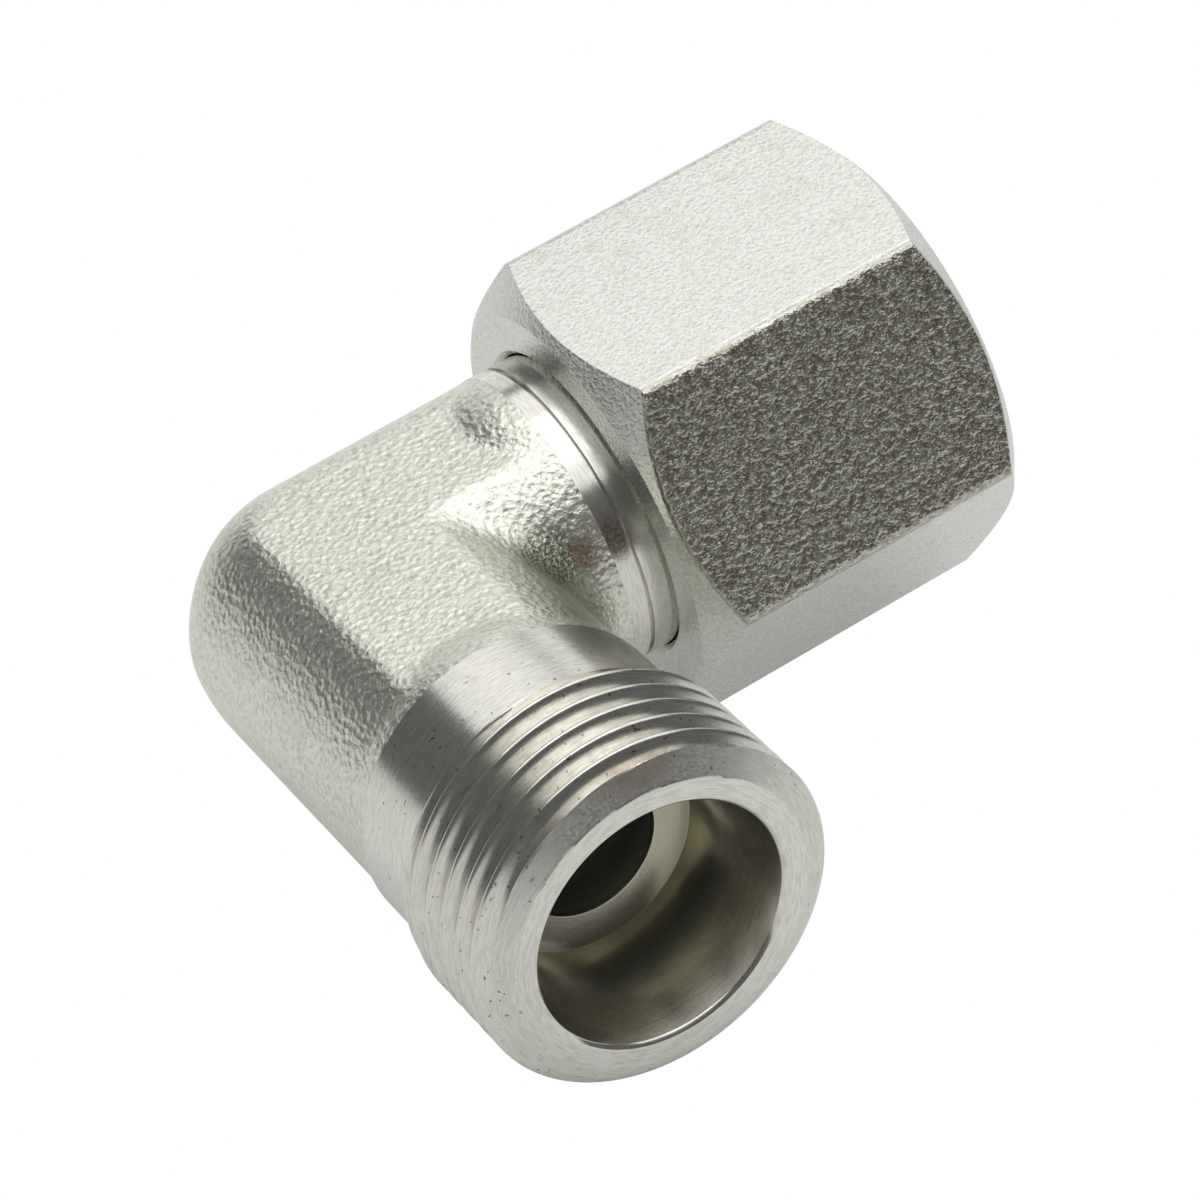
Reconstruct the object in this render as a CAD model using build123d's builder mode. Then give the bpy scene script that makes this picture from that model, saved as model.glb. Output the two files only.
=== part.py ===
from build123d import *
import os
from math import cos, radians, sin, sqrt, tan

# A forged right-angle hydraulic adapter. One arm is a threaded stud with a 24 degree tube
# port, the other a turned shank that carries a captive hexagon nut round a tapered nose.
# Millimetres. The stud points along -Y and the swivel arm towards +X. The fitting lies on its
# heel, its thread and the nut's back corner, so the swivel arm rises a little from level.
# The origin is the centre of the tube port's mouth, in the stud's end face.
os.makedirs("parts", exist_ok=True)

# How it lies
lie_angle = 12.0             # degrees the swivel arm rises towards the nut's open end

# Thread, the same on the stud and in the nut
thread_dia = 20.0
thread_pitch = 1.5

# Forging
leg_radius = 8.85            # half the width of each forged leg
flat_depth = 0.85            # how deep the forged top and bottom flats cut into it
heel_core = 1.65             # the rounding of the bend's outside leaves this much of leg_radius
crotch_fillet = 2.6          # blend between the two legs on the inside
crease_fillet = 1.2          # softened edges of the flats
flare_length = 3.4           # where a leg swells out to its turned end
flare_radius = 6.0           # hollow of that swelling
flare_sink = 0.4             # the swelling starts this far under the flats

# Stud, distances measured from the crossing of the two axes
stud_reach = 31.0            # to the end face
stud_leg = 7.75              # forged length past the side of the other leg
neck_cut = 1.8               # thread over the plain turned neck, on the diameter
neck_end = 21.4
thread_rise = 1.0            # length of the slope from the neck up to the thread
stud_face_dia = 16.8         # flat ring of the end face
stud_end_chamfer = 0.85      # length of the end chamfer along the axis

# Tube port in the stud
tube_dia = 12.0
tube_clearance = 0.2         # socket over tube, on the diameter
port_depth = 7.5             # end face to the tube stop
cone_half_angle = 12.0
mouth_dia = 14.1             # large end of the cone
mouth_edge = 0.2             # broken edge at the mouth
passage_dia = 8.0            # fluid passage of both arms
drill_overrun = 1.0          # how far each drill passes the crossing
drill_half_angle = 59.0

# Shank and nose of the swivel arm, distances measured from the crossing
shank_leg = 2.75             # forged length past the side of the other leg
shank_slip = 0.576           # nut's thread bore over the shank, on the diameter
shank_end = 20.8
tool_line_at = 12.75         # fine turned line round the collar
tool_line_width = 0.28
tool_line_depth = 0.3
nose_tip = 32.2
nose_tip_dia = 11.0
nose_length = 9.2            # tapered length
nose_neck_dia = 14.4
edge_break = 0.3

# Seal ring on the nose
seal_cord = 1.5              # diameter of the ring's round section
seal_at = 26.9
seal_groove_width = 1.9
seal_groove_dia = 11.0
seal_gap = 0.02              # ring to the groove's floor

# Captive nut
across_flats = 24.0
nut_start = 14.2             # back face, from the crossing
nut_length = 20.5
nut_turn = 4.9               # degrees the nut stands turned on its shank
nut_face_dia = 22.8          # flat ring inside the corner chamfers
nut_chamfer_angle = 36.0
nut_corner_round = 0.8
running_gap = 0.06           # shank to nut, on the radius
relief_start = 19.9
relief_length = 2.0          # turned relief behind the nut's thread
relief_depth = 0.15
nut_mouth_chamfer = 1.0

# Lock wire that holds the nut on the shank
wire_dia = 1.8
wire_at = 17.0
wire_gap = 0.05              # wire to its half-round grooves
wire_opening = 24.0          # degrees left open in the ring
feed_hole_dia = 2.2
feed_hole_turn = -30.0       # the nut's flat with the hole, degrees from +Y before nut_turn
hook_dia = 1.7               # bent end of the wire, in the feed hole
hook_length = 2.6
hook_lap = 0.7               # how far the ring runs past the middle of the bent end

# Worked out from the sizes above
crossing = Vector(0, stud_reach, 0)
flat_height = leg_radius - flat_depth
stud_forged_end = leg_radius + stud_leg
shank_start = leg_radius + shank_leg
neck_dia = thread_dia - neck_cut
nut_thread_radius = (thread_dia - 1.0825 * thread_pitch) / 2
shank_dia = 2 * nut_thread_radius - shank_slip
passage_radius = passage_dia / 2
shank_radius = shank_dia / 2
nut_end = nut_start + nut_length
nut_bore_radius = shank_radius + running_gap
relief_radius = thread_dia / 2 + relief_depth
nut_mouth_radius = nut_thread_radius + nut_mouth_chamfer
cone_slope = tan(radians(cone_half_angle))
drill_tip = passage_radius / tan(radians(drill_half_angle))
socket_radius = (tube_dia + tube_clearance) / 2
cone_end = stud_reach - mouth_edge - (mouth_dia / 2 - socket_radius) / cone_slope
nose_base = nose_tip - nose_length
nose_base_radius = nose_tip_dia / 2 + nose_length * cone_slope
wire_circle = (shank_radius + nut_bore_radius) / 2
groove_radius = wire_dia / 2 + wire_gap
feed_hole_angle = radians(feed_hole_turn + nut_turn)
seal_circle = seal_groove_dia / 2 + seal_gap + seal_cord / 2

# Directions: along the swivel arm, square to both arms, and along the nut's feed hole
swivel_way = Vector(cos(radians(lie_angle)), 0, sin(radians(lie_angle)))
face_way = Vector(-sin(radians(lie_angle)), 0, cos(radians(lie_angle)))
hole_way = Vector(0, cos(feed_hole_angle), 0) + face_way * sin(feed_hole_angle)

# Sections through each axis: (distance from the stud axis, distance along it) for the stud,
# and (distance along, distance from) for the swivel arm
stud_section = Plane(origin=crossing, x_dir=swivel_way, z_dir=-face_way)
swivel_section = Plane(origin=crossing, x_dir=swivel_way, z_dir=face_way)
stud_axis = Axis(crossing, (0, -1, 0))
swivel_axis = Axis(crossing, swivel_way)
# The bent end of the wire: its foot on the ring, and the plane there square to the feed hole
hook_foot = crossing + swivel_way * wire_at + hole_way * wire_circle
across_hole = Plane(origin=hook_foot, x_dir=swivel_way, z_dir=hole_way)
# The gap in the wire ring, as the corners of a wedge across the swivel axis
lap_angle = hook_lap / wire_circle
opening_sides = (feed_hole_angle - lap_angle, feed_hole_angle - lap_angle - radians(wire_opening))
opening_corners = [(across_flats * cos(side), across_flats * sin(side)) for side in opening_sides]


def across_stud(distance):
    """Plane square to the stud axis, facing its end, that far from the crossing."""
    return Plane(origin=(0, stud_reach - distance, 0), x_dir=swivel_way, z_dir=(0, -1, 0))


def across_swivel(distance):
    """Plane square to the swivel axis, facing the nut, that far from the crossing."""
    return Plane(origin=crossing + swivel_way * distance, x_dir=(0, 1, 0), z_dir=swivel_way)


def swivel_distance(edge):
    """How far an edge's middle lies from the stud axis, towards the nut."""
    return (edge.center() - crossing).dot(swivel_way)


def leg_outline():
    """Round leg with the forged flats above and below, drawn in the sketch that calls it."""
    Circle(leg_radius)
    Rectangle(2 * leg_radius, 2 * flat_height, mode=Mode.INTERSECT)


with BuildPart() as elbow_body:
    # Outside of the bend: what both legs share behind the crossing, its mitre rounded off
    with BuildSketch(across_stud(-leg_radius)):
        leg_outline()
    extrude(amount=2 * leg_radius)
    with BuildSketch(across_swivel(-leg_radius)):
        leg_outline()
    extrude(amount=2 * leg_radius, mode=Mode.INTERSECT)
    mitre = elbow_body.edges().filter_by(GeomType.ELLIPSE).filter_by(
        lambda edge: swivel_distance(edge) < 0 < edge.center().Y - stud_reach
    )
    fillet(mitre, radius=leg_radius - heel_core)
    # Forged legs, blended in the crotch, with softened creases
    with BuildSketch(across_stud(0)):
        leg_outline()
    extrude(amount=stud_forged_end)
    with BuildSketch(across_swivel(0)):
        leg_outline()
    extrude(amount=shank_start)
    crotch = elbow_body.edges().filter_by(GeomType.ELLIPSE).filter_by(lambda edge: swivel_distance(edge) > 0)
    fillet(crotch, radius=crotch_fillet)
    flats = elbow_body.faces().filter_by(Axis(crossing, face_way))
    creases = flats.edges().filter_by(
        lambda edge: edge.center().Y > stud_reach - stud_forged_end + crease_fillet
        and swivel_distance(edge) < shank_start - crease_fillet
    )
    fillet(creases, radius=crease_fillet)
    # Swellings of the legs out to the turned ends
    with BuildSketch(stud_section):
        with BuildLine():
            start = (flat_height - flare_sink, stud_forged_end - flare_length)
            top = (neck_dia / 2, stud_forged_end)
            Line((0, start[1]), start)
            RadiusArc(start, top, -flare_radius)
            Polyline(top, (0, stud_forged_end), (0, start[1]))
        make_face()
    revolve(axis=stud_axis)
    with BuildSketch(swivel_section):
        with BuildLine():
            start = (shank_start - flare_length, flat_height - flare_sink)
            top = (shank_start, shank_radius)
            Line((start[0], 0), start)
            RadiusArc(start, top, flare_radius)
            Polyline(top, (shank_start, 0), (start[0], 0))
        make_face()
    revolve(axis=swivel_axis)
    # Turned neck and threaded stud
    with BuildSketch(stud_section):
        with BuildLine():
            Polyline(
                (0, stud_forged_end),
                (neck_dia / 2, stud_forged_end),
                (neck_dia / 2, neck_end),
                (thread_dia / 2, neck_end + thread_rise),
                (thread_dia / 2, stud_reach - stud_end_chamfer),
                (stud_face_dia / 2, stud_reach),
                (0, stud_reach),
                close=True,
            )
        make_face()
    revolve(axis=stud_axis)
    # Turned shank and tapered nose
    with BuildSketch(swivel_section):
        with BuildLine():
            Polyline(
                (shank_start, 0),
                (shank_start, shank_radius),
                (shank_end - edge_break, shank_radius),
                (shank_end, shank_radius - edge_break),
                (shank_end, nose_neck_dia / 2),
                (nose_base - edge_break, nose_neck_dia / 2),
                (nose_base, nose_base_radius),
                (nose_tip - edge_break, nose_tip_dia / 2 + edge_break * cone_slope),
                (nose_tip, nose_tip_dia / 2 - edge_break),
                (nose_tip, 0),
                close=True,
            )
        make_face()
    revolve(axis=swivel_axis)
    # Turned line, wire groove and seal groove
    with BuildSketch(swivel_section):
        with Locations((tool_line_at, shank_radius)):
            Rectangle(tool_line_width, 2 * tool_line_depth)
        with Locations((wire_at, wire_circle)):
            Circle(groove_radius)
        with Locations((seal_at, seal_groove_dia / 2)):
            Rectangle(seal_groove_width, nose_base_radius, align=(Align.CENTER, Align.MIN))
    revolve(axis=swivel_axis, mode=Mode.SUBTRACT)
    # Tube port: cone, socket, tube stop, passage, and the passage of the swivel arm
    with BuildSketch(stud_section):
        with BuildLine():
            Polyline(
                (0, stud_reach),
                (mouth_dia / 2 + mouth_edge, stud_reach),
                (mouth_dia / 2, stud_reach - mouth_edge),
                (socket_radius, cone_end),
                (socket_radius, stud_reach - port_depth),
                (passage_radius, stud_reach - port_depth),
                (passage_radius, -drill_overrun),
                (0, -drill_overrun - drill_tip),
                close=True,
            )
        make_face()
    revolve(axis=stud_axis, mode=Mode.SUBTRACT)
    with BuildSketch(swivel_section):
        with BuildLine():
            Polyline(
                (-drill_overrun - drill_tip, 0),
                (-drill_overrun, passage_radius),
                (nose_tip - edge_break, passage_radius),
                (nose_tip, passage_radius + edge_break),
                (nose_tip, 0),
                close=True,
            )
        make_face()
    revolve(axis=swivel_axis, mode=Mode.SUBTRACT)

with BuildPart() as swivel_nut:
    # Hexagon bar with rounded corners, chamfered at both ends
    with BuildSketch(across_swivel(nut_start)) as hexagon:
        RegularPolygon(across_flats / 2, 6, major_radius=False, rotation=nut_turn)
        fillet(hexagon.vertices(), radius=nut_corner_round)
    extrude(amount=nut_length)
    corner_radius = across_flats / sqrt(3) + edge_break
    chamfer_length = (corner_radius - nut_face_dia / 2) * tan(radians(nut_chamfer_angle))
    with BuildSketch(swivel_section):
        with BuildLine():
            Polyline(
                (nut_start, 0),
                (nut_start, nut_face_dia / 2),
                (nut_start + chamfer_length, corner_radius),
                (nut_end - chamfer_length, corner_radius),
                (nut_end, nut_face_dia / 2),
                (nut_end, 0),
                close=True,
            )
        make_face()
    revolve(axis=swivel_axis, mode=Mode.INTERSECT)
    # Bore over the shank, relief, thread and mouth
    with BuildSketch(swivel_section):
        with BuildLine():
            Polyline(
                (nut_start, 0),
                (nut_start, nut_bore_radius + edge_break),
                (nut_start + edge_break, nut_bore_radius),
                (relief_start, nut_bore_radius),
                (relief_start, relief_radius),
                (relief_start + relief_length, relief_radius),
                (relief_start + relief_length, nut_thread_radius),
                (nut_end - nut_mouth_chamfer, nut_thread_radius),
                (nut_end, nut_mouth_radius),
                (nut_end, 0),
                close=True,
            )
        make_face()
        with Locations((wire_at, wire_circle)):
            Circle(groove_radius)
    revolve(axis=swivel_axis, mode=Mode.SUBTRACT)
    # Hole through one flat for the bent end of the wire
    with BuildSketch(across_hole):
        Circle(feed_hole_dia / 2)
    extrude(amount=across_flats / 2, mode=Mode.SUBTRACT)

with BuildPart() as lock_wire:
    # Round wire bent to an open ring, one end turned out into the nut's feed hole
    with BuildSketch(swivel_section):
        with Locations((wire_at, wire_circle)):
            Circle(wire_dia / 2)
    revolve(axis=swivel_axis)
    with BuildSketch(across_swivel(wire_at - wire_dia)):
        Polygon((0, 0), *opening_corners, align=None)
    extrude(amount=2 * wire_dia, mode=Mode.SUBTRACT)
    with BuildSketch(across_hole):
        Circle(hook_dia / 2)
    extrude(amount=hook_length)

with BuildPart() as o_ring:
    # Rubber ring in the groove of the nose
    with BuildSketch(swivel_section):
        with Locations((seal_at, seal_circle)):
            Circle(seal_cord / 2)
    revolve(axis=swivel_axis)

elbow_body.part.label = "elbow_body"
export_step(elbow_body.part, "parts/elbow_body.step")
swivel_nut.part.label = "swivel_nut"
export_step(swivel_nut.part, "parts/swivel_nut.step")
lock_wire.part.label = "lock_wire"
export_step(lock_wire.part, "parts/lock_wire.step")
o_ring.part.label = "o_ring"
export_step(o_ring.part, "parts/o_ring.step")
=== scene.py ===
"""Looks of a forged right-angle hydraulic adapter: threaded stud, forged bend, captive hexagon nut.

Lengths are written in millimetres and turned to metres where a mesh or a camera is made. The
stud points along -Y; the swivel arm points towards +X and rises by LIE degrees, as the fitting
rests. Their axes cross at (0, 31, 0).
"""

from __future__ import annotations

import logging
import math
from collections.abc import Callable, Sequence
from dataclasses import dataclass, field
from enum import Enum

import bmesh
import bpy
from mathutils import Matrix, Vector

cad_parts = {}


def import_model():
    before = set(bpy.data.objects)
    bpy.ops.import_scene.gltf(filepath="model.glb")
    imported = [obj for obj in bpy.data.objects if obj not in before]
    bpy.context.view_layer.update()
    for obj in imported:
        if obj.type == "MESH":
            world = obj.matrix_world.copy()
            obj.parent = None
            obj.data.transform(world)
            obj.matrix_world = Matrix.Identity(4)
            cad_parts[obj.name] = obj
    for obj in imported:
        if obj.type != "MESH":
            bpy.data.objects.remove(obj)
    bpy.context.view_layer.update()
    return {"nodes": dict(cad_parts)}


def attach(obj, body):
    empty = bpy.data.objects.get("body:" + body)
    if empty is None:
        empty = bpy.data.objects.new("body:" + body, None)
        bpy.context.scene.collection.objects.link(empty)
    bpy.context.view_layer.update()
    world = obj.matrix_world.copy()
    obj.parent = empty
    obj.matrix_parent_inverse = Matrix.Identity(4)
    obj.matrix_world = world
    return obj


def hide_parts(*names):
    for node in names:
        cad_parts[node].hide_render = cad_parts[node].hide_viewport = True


MM = 0.001
FULL_TURN = 2 * math.pi
LIE = 12.0  # degrees that the swivel arm rises
CROSSING = 31.0  # stud's end face to the crossing of the axes
PASSAGE = 4.0  # radius of the passages
STUD_FORGED = 16.6  # where the forging ends and the turned neck starts
SHANK_START = 11.6  # where the forging ends and the turned shank starts
WIRE_AT = 17.0  # lock wire's grooves along the swivel arm
GROOVE_RADIUS = 0.95  # radius of the half-round section
GROOVE_CIRCLE = 8.93  # radius of the circle that its middle lies on
SEAM = 2e-6  # metres within which two points of a screw's seam are one
LOG = logging.getLogger("elbow")

Colour = tuple[float, float, float]
Point = tuple[float, float, float]
Pair = tuple[float, float]  # a point of a section is (along the axis, radius)
Blot = tuple[Point, Point]  # centre and radii of an ellipsoid that a tint fills
BMesh = bmesh.types.BMesh
BMVert = bmesh.types.BMVert
BMEdge = bmesh.types.BMEdge
Material = bpy.types.Material
Object = bpy.types.Object


class Slot(Enum):
    """The record's material slots; no piece made here is given one."""

    FORGED = "forged_steel"
    NUT = "nut_steel"
    RUBBER = "seal_rubber"


class Body(Enum):
    """The two bodies that turn on each other."""

    ELBOW = "elbow"
    NUT = "nut"


# shader maths


@dataclass
class Signal:
    """A socket's value inside a material, with ordinary arithmetic on it.

    Args:
        tree: the material that owns the nodes.
        socket: the output socket that carries the value.
    """

    tree: Tree
    socket: bpy.types.NodeSocket

    def _math(self, operation: str, *values: Signal | float) -> Signal:
        """One Math node on the given values."""
        return self.tree.add("ShaderNodeMath", {"operation": operation}, dict(enumerate(values)))

    def __add__(self, other: Signal | float) -> Signal:
        """Sum."""
        return self._math("ADD", self, other)

    def __sub__(self, other: Signal | float) -> Signal:
        """Difference."""
        return self._math("SUBTRACT", self, other)

    def __rsub__(self, other: float) -> Signal:
        """Difference, number first."""
        return self._math("SUBTRACT", other, self)

    def __mul__(self, other: Signal | float) -> Signal:
        """Product."""
        return self._math("MULTIPLY", self, other)

    __radd__ = __add__
    __rmul__ = __mul__

    def root(self) -> Signal:
        """Square root."""
        return self._math("SQRT", self)

    def larger(self, other: Signal | float) -> Signal:
        """The larger of two values."""
        return self._math("MAXIMUM", self, other)

    def between(self, low: float, high: float) -> Signal:
        """0 at low, 1 at high, with a soft start and end. low may be the larger."""
        return self.tree.add(
            "ShaderNodeMapRange",
            {"interpolation_type": "SMOOTHSTEP", "clamp": True},
            {"Value": self, "From Min": low, "From Max": high},
        )


class Tree:
    """The node tree of one material, made from nothing."""

    def __init__(self, name: str) -> None:
        """Starts an empty tree.

        Args:
            name: the material's name.
        """
        self.material = bpy.data.materials.new(name)
        self.material.use_nodes = True
        self.nodes = self.material.node_tree.nodes
        self.links = self.material.node_tree.links
        self.nodes.clear()
        lying = self.add("ShaderNodeTexCoord", {}, {}, output="Object")
        self.place = self.add(
            "ShaderNodeVectorRotate",
            {"rotation_type": "Y_AXIS"},
            {"Vector": lying, "Angle": math.radians(LIE)},
        )

    def add(
        self,
        kind: str,
        settings: dict[str, object],
        inputs: dict[str | int, object],
        output: str | int = 0,
    ) -> Signal:
        """Adds any node.

        Args:
            kind: the node's type name.
            settings: properties of the node.
            inputs: socket name or number to a number, colour or Signal.
            output: the output that the result stands for.

        Returns:
            The output as a Signal.
        """
        node = self.nodes.new(kind)
        for key, value in settings.items():
            setattr(node, key, value)
        for key, value in inputs.items():
            if isinstance(value, Signal):
                self.links.new(value.socket, node.inputs[key])
            else:
                node.inputs[key].default_value = value
        return Signal(self, node.outputs[output])

    def axes(self) -> tuple[Signal, Signal, Signal]:
        """Place in millimetres: along the swivel arm, against the stud, square to both."""
        parts = self.add("ShaderNodeSeparateXYZ", {}, {0: self.place}).socket.node
        x, y, z = (Signal(self, out) * (1 / MM) for out in parts.outputs)
        return x, y, z

    def vector(self, x: Signal | float, y: Signal | float, z: Signal | float) -> Signal:
        """A vector from three values."""
        return self.add("ShaderNodeCombineXYZ", {}, {0: x, 1: y, 2: z})

    def _vector_math(self, operation: str, a: Signal, b: Point) -> Signal:
        """One Vector Math node on a vector and a fixed one."""
        return self.add("ShaderNodeVectorMath", {"operation": operation}, {0: a, 1: b})

    def noise(
        self,
        grain: float,
        detail: float = 2.0,
        roughness: float = 0.5,
        at: Signal | None = None,
        shift: float = 0.0,
    ) -> Signal:
        """Soft noise between 0 and 1.

        Args:
            grain: size of its features in millimetres, or 1 for a vector already scaled.
            detail: octaves.
            roughness: weight of the finer octaves.
            at: vector to read it at; the object's own place if left out.
            shift: makes the pattern differ from another of the same size.
        """
        where = at
        if where is None:
            away = shift * MM
            where = self._vector_math("ADD", self.place, (away, -away, away))
        scale = 1.0 if at is not None else 1 / (grain * MM)
        return self.add(
            "ShaderNodeTexNoise",
            {"noise_dimensions": "3D"},
            {"Vector": where, "Scale": scale, "Detail": detail, "Roughness": roughness},
        )

    def pits(self, grain: float) -> Signal:
        """Distance to the nearest cell centre, for peened and cast skins.

        Args:
            grain: spacing of the cells in millimetres.
        """
        return self.add(
            "ShaderNodeTexVoronoi",
            {"feature": "SMOOTH_F1"},
            {"Vector": self.place, "Scale": 1 / (grain * MM), "Smoothness": 0.6},
        )

    def spot(self, centre: Point, radii: Point) -> Signal:
        """1 inside an ellipsoid, fading to 0 at its skin. Millimetres."""
        offset = self._vector_math("SUBTRACT", self.place, tuple(c * MM for c in centre))
        scaled = self._vector_math("DIVIDE", offset, tuple(r * MM for r in radii))
        length = self.add(
            "ShaderNodeVectorMath", {"operation": "LENGTH"}, {0: scaled}, output="Value"
        )
        return length.between(1.0, 0.35)

    def mix(self, factor: Signal | float, a: Signal | Colour, b: Signal | Colour) -> Signal:
        """Colour a at factor 0, colour b at 1."""
        first, second = (c if isinstance(c, Signal) else (*c, 1.0) for c in (a, b))
        return self.add(
            "ShaderNodeMix", {"data_type": "RGBA"}, {0: factor, 6: first, 7: second}, output=2
        )

    def bump(self, height: Signal, depth: float) -> Signal:
        """Normal bent by a height field.

        Args:
            height: field between 0 and 1.
            depth: how far 1 stands over 0, in millimetres.
        """
        return self.add(
            "ShaderNodeBump", {}, {"Height": height, "Distance": depth * MM, "Strength": 1.0}
        )

    def finish(
        self,
        colour: Signal | Colour,
        roughness: Signal | float,
        metallic: float,
        normal: Signal | None,
    ) -> Material:
        """Closes the tree with the surface shader.

        Args:
            colour: base colour.
            roughness: roughness of the surface.
            metallic: 1 for a bare metal.
            normal: bent normal, or None for a plain one.

        Returns:
            The material.
        """
        inputs: dict[str | int, object] = {"Roughness": roughness, "Metallic": metallic}
        inputs["Base Color"] = colour if isinstance(colour, Signal) else (*colour, 1.0)
        if normal is not None:
            inputs["Normal"] = normal
        shader = self.add("ShaderNodeBsdfPrincipled", {}, inputs)
        self.close(shader)
        return self.material

    def close(self, shader: Signal) -> None:
        """Links the shader to the material's output."""
        node = self.nodes.new("ShaderNodeOutputMaterial")
        self.links.new(shader.socket, node.inputs["Surface"])


# finishes


@dataclass(frozen=True)
class ForgedZinc:
    """Zinc plate over the shot-blasted skin of a forging.

    Args:
        light: plate colour on the high spots.
        dark: plate colour in the hollows.
        rust: tint of the stain beside the collar.
        pocket: colour of the speckled hollow in the crotch.
        hollow: where that hollow lies.
        stain: where the rust lies.
        grain: size of the skin's orange-peel dimples in millimetres.
        depth: their depth in millimetres.
    """

    light: Colour = (0.80, 0.80, 0.71)
    dark: Colour = (0.58, 0.58, 0.49)
    rust: Colour = (0.30, 0.15, 0.07)
    pocket: Colour = (0.10, 0.11, 0.05)
    hollow: Blot = ((8.3, 22.9, 4.6), (3.2, 2.6, 2.8))
    stain: Blot = ((10.3, 22.9, 3.8), (1.1, 1.0, 1.6))
    grain: float = 0.3
    depth: float = 0.105

    def material(self) -> Material:
        """Builds the material."""
        tree = Tree("forged_zinc")
        peel = tree.noise(self.grain, 2.0, 0.55)
        sand = tree.noise(0.13, 2.0, 0.6, shift=3.0)
        broad = tree.noise(3.2, 2.0, 0.5, shift=7.0)
        colour = tree.mix(peel.between(0.25, 0.6), self.dark, self.light)
        colour = tree.mix(broad.between(0.5, 0.8) * 0.2, colour, self.dark)
        pits = sand.between(0.34, 0.24) * broad.between(0.35, 0.6)
        colour = tree.mix(pits * 0.7, colour, self.pocket)
        pocket = tree.spot(*self.hollow) * sand.between(0.66, 0.42)
        colour = tree.mix(pocket * 0.9, colour, self.pocket)
        stain = tree.spot(*self.stain) * sand.between(0.4, 0.56)
        colour = tree.mix(stain * 0.75, colour, self.rust)
        height = tree.pits(self.grain * 1.25) * 0.62 + peel * 0.35 + sand * 0.32
        rough = 0.24 + sand * 0.14 + pocket * 0.2
        return tree.finish(colour, rough, 0.93, tree.bump(height, self.depth))


class TurningAxis(Enum):
    """Which axis a finish was turned about."""

    STUD = "stud"
    SWIVEL = "swivel"


@dataclass(frozen=True)
class TurnedZinc:
    """Zinc plate over fine tool marks that run round an axis.

    Args:
        name: the material's name.
        axis: the axis that the marks run round.
        light: plate colour.
        dark: colour between the marks.
        rust: colour of the faint rust stain on the stud, also used for the painted rust reflection
            on the collar.
        grime: colour of the nicks and specks.
        socket: colour of the oiled tube socket.
        stud_stain: where the stud's stain lies.
        painted_rust_reflection: where the painted reflection of the forging's rust lies on the
            collar.
        face: radius where the end face meets the chamfer, in millimetres.
        pitch: spacing of the marks in millimetres.
        depth: their depth in millimetres.
        gloss: lowest roughness.
    """

    name: str
    axis: TurningAxis
    light: Colour = (0.76, 0.75, 0.70)
    dark: Colour = (0.64, 0.63, 0.56)
    rust: Colour = (0.33, 0.20, 0.10)
    grime: Colour = (0.16, 0.15, 0.11)
    socket: Colour = (0.52, 0.50, 0.38)
    stud_stain: Blot = ((1.5, 0.6, 9.4), (3.0, 1.4, 1.4))
    painted_rust_reflection: Blot = ((12.1, 22.9, 3.8), (1.1, 1.5, 1.9))
    face: float = 8.4
    pitch: float = 0.09
    depth: float = 0.0028
    gloss: float = 0.14

    def material(self) -> Material:
        """Builds the material."""
        tree = Tree(self.name)
        x, y, z = tree.axes()
        along, across = (x, y - CROSSING) if self.axis is TurningAxis.SWIVEL else (y, x)
        radius = (across * across + z * z).root()
        path = along + radius * 0.83
        round_marks = tree.vector(path * (1 / self.pitch), across * 1.1, z * 1.1)
        lines = tree.noise(1.0, 2.0, 0.5, at=round_marks)
        bands = tree.noise(1.0, 1.0, 0.5, at=tree.vector(path * 1.9, across * 0.05, z * 0.05))
        sand = tree.noise(0.16, 2.0, 0.6)
        broad = tree.noise(2.6, 2.0, 0.5, shift=5.0)
        colour = tree.mix(lines.between(0.3, 0.62), self.dark, self.light)
        colour = tree.mix(broad.between(0.45, 0.8) * 0.2, colour, self.dark)
        colour = tree.mix(sand.between(0.3, 0.22) * 0.6, colour, self.dark)
        colour = self._tints(tree, colour, along, radius, sand)
        height = lines * 0.7 + bands * 0.15 + sand * 0.8
        rough = self.gloss + sand * 0.12
        if self.axis is TurningAxis.STUD:
            chamfer = along.between(0.95, 0.75) * radius.between(self.face - 0.05, self.face + 0.2)
            rough = rough + chamfer * (sand * 0.4)
        return tree.finish(colour, rough, 0.94, tree.bump(height, self.depth))

    def _tints(
        self, tree: Tree, colour: Signal, along: Signal, radius: Signal, sand: Signal
    ) -> Signal:
        """Adds the tube socket's oil film, the nicks, the stud's rust stain and the collar's
        painted rust reflection.
        """
        if self.axis is TurningAxis.STUD:
            socket = radius.between(6.6, 6.2) * along.between(4.4, 5.4) * along.between(8.2, 7.6)
            colour = tree.mix(socket * 0.8, colour, self.socket)
            top = tree.spot(*self.stud_stain) * sand.between(0.3, 0.6)
            colour = tree.mix(top * 0.45, colour, self.rust)
            nicks = tree.noise(0.3, 1.0, 0.5, shift=23.0).between(0.70, 0.76)
            nicks = nicks * radius.between(self.face - 0.2, self.face + 0.2)
            return tree.mix(nicks * 0.8, colour, self.grime)
        # painted reflection: the forging's rust as the turned collar mirrors it, painted onto the
        # collar as colour
        reflected_rust = tree.spot(*self.painted_rust_reflection) * sand.between(0.35, 0.6)
        return tree.mix(reflected_rust * 0.8, colour, self.rust)


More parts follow.
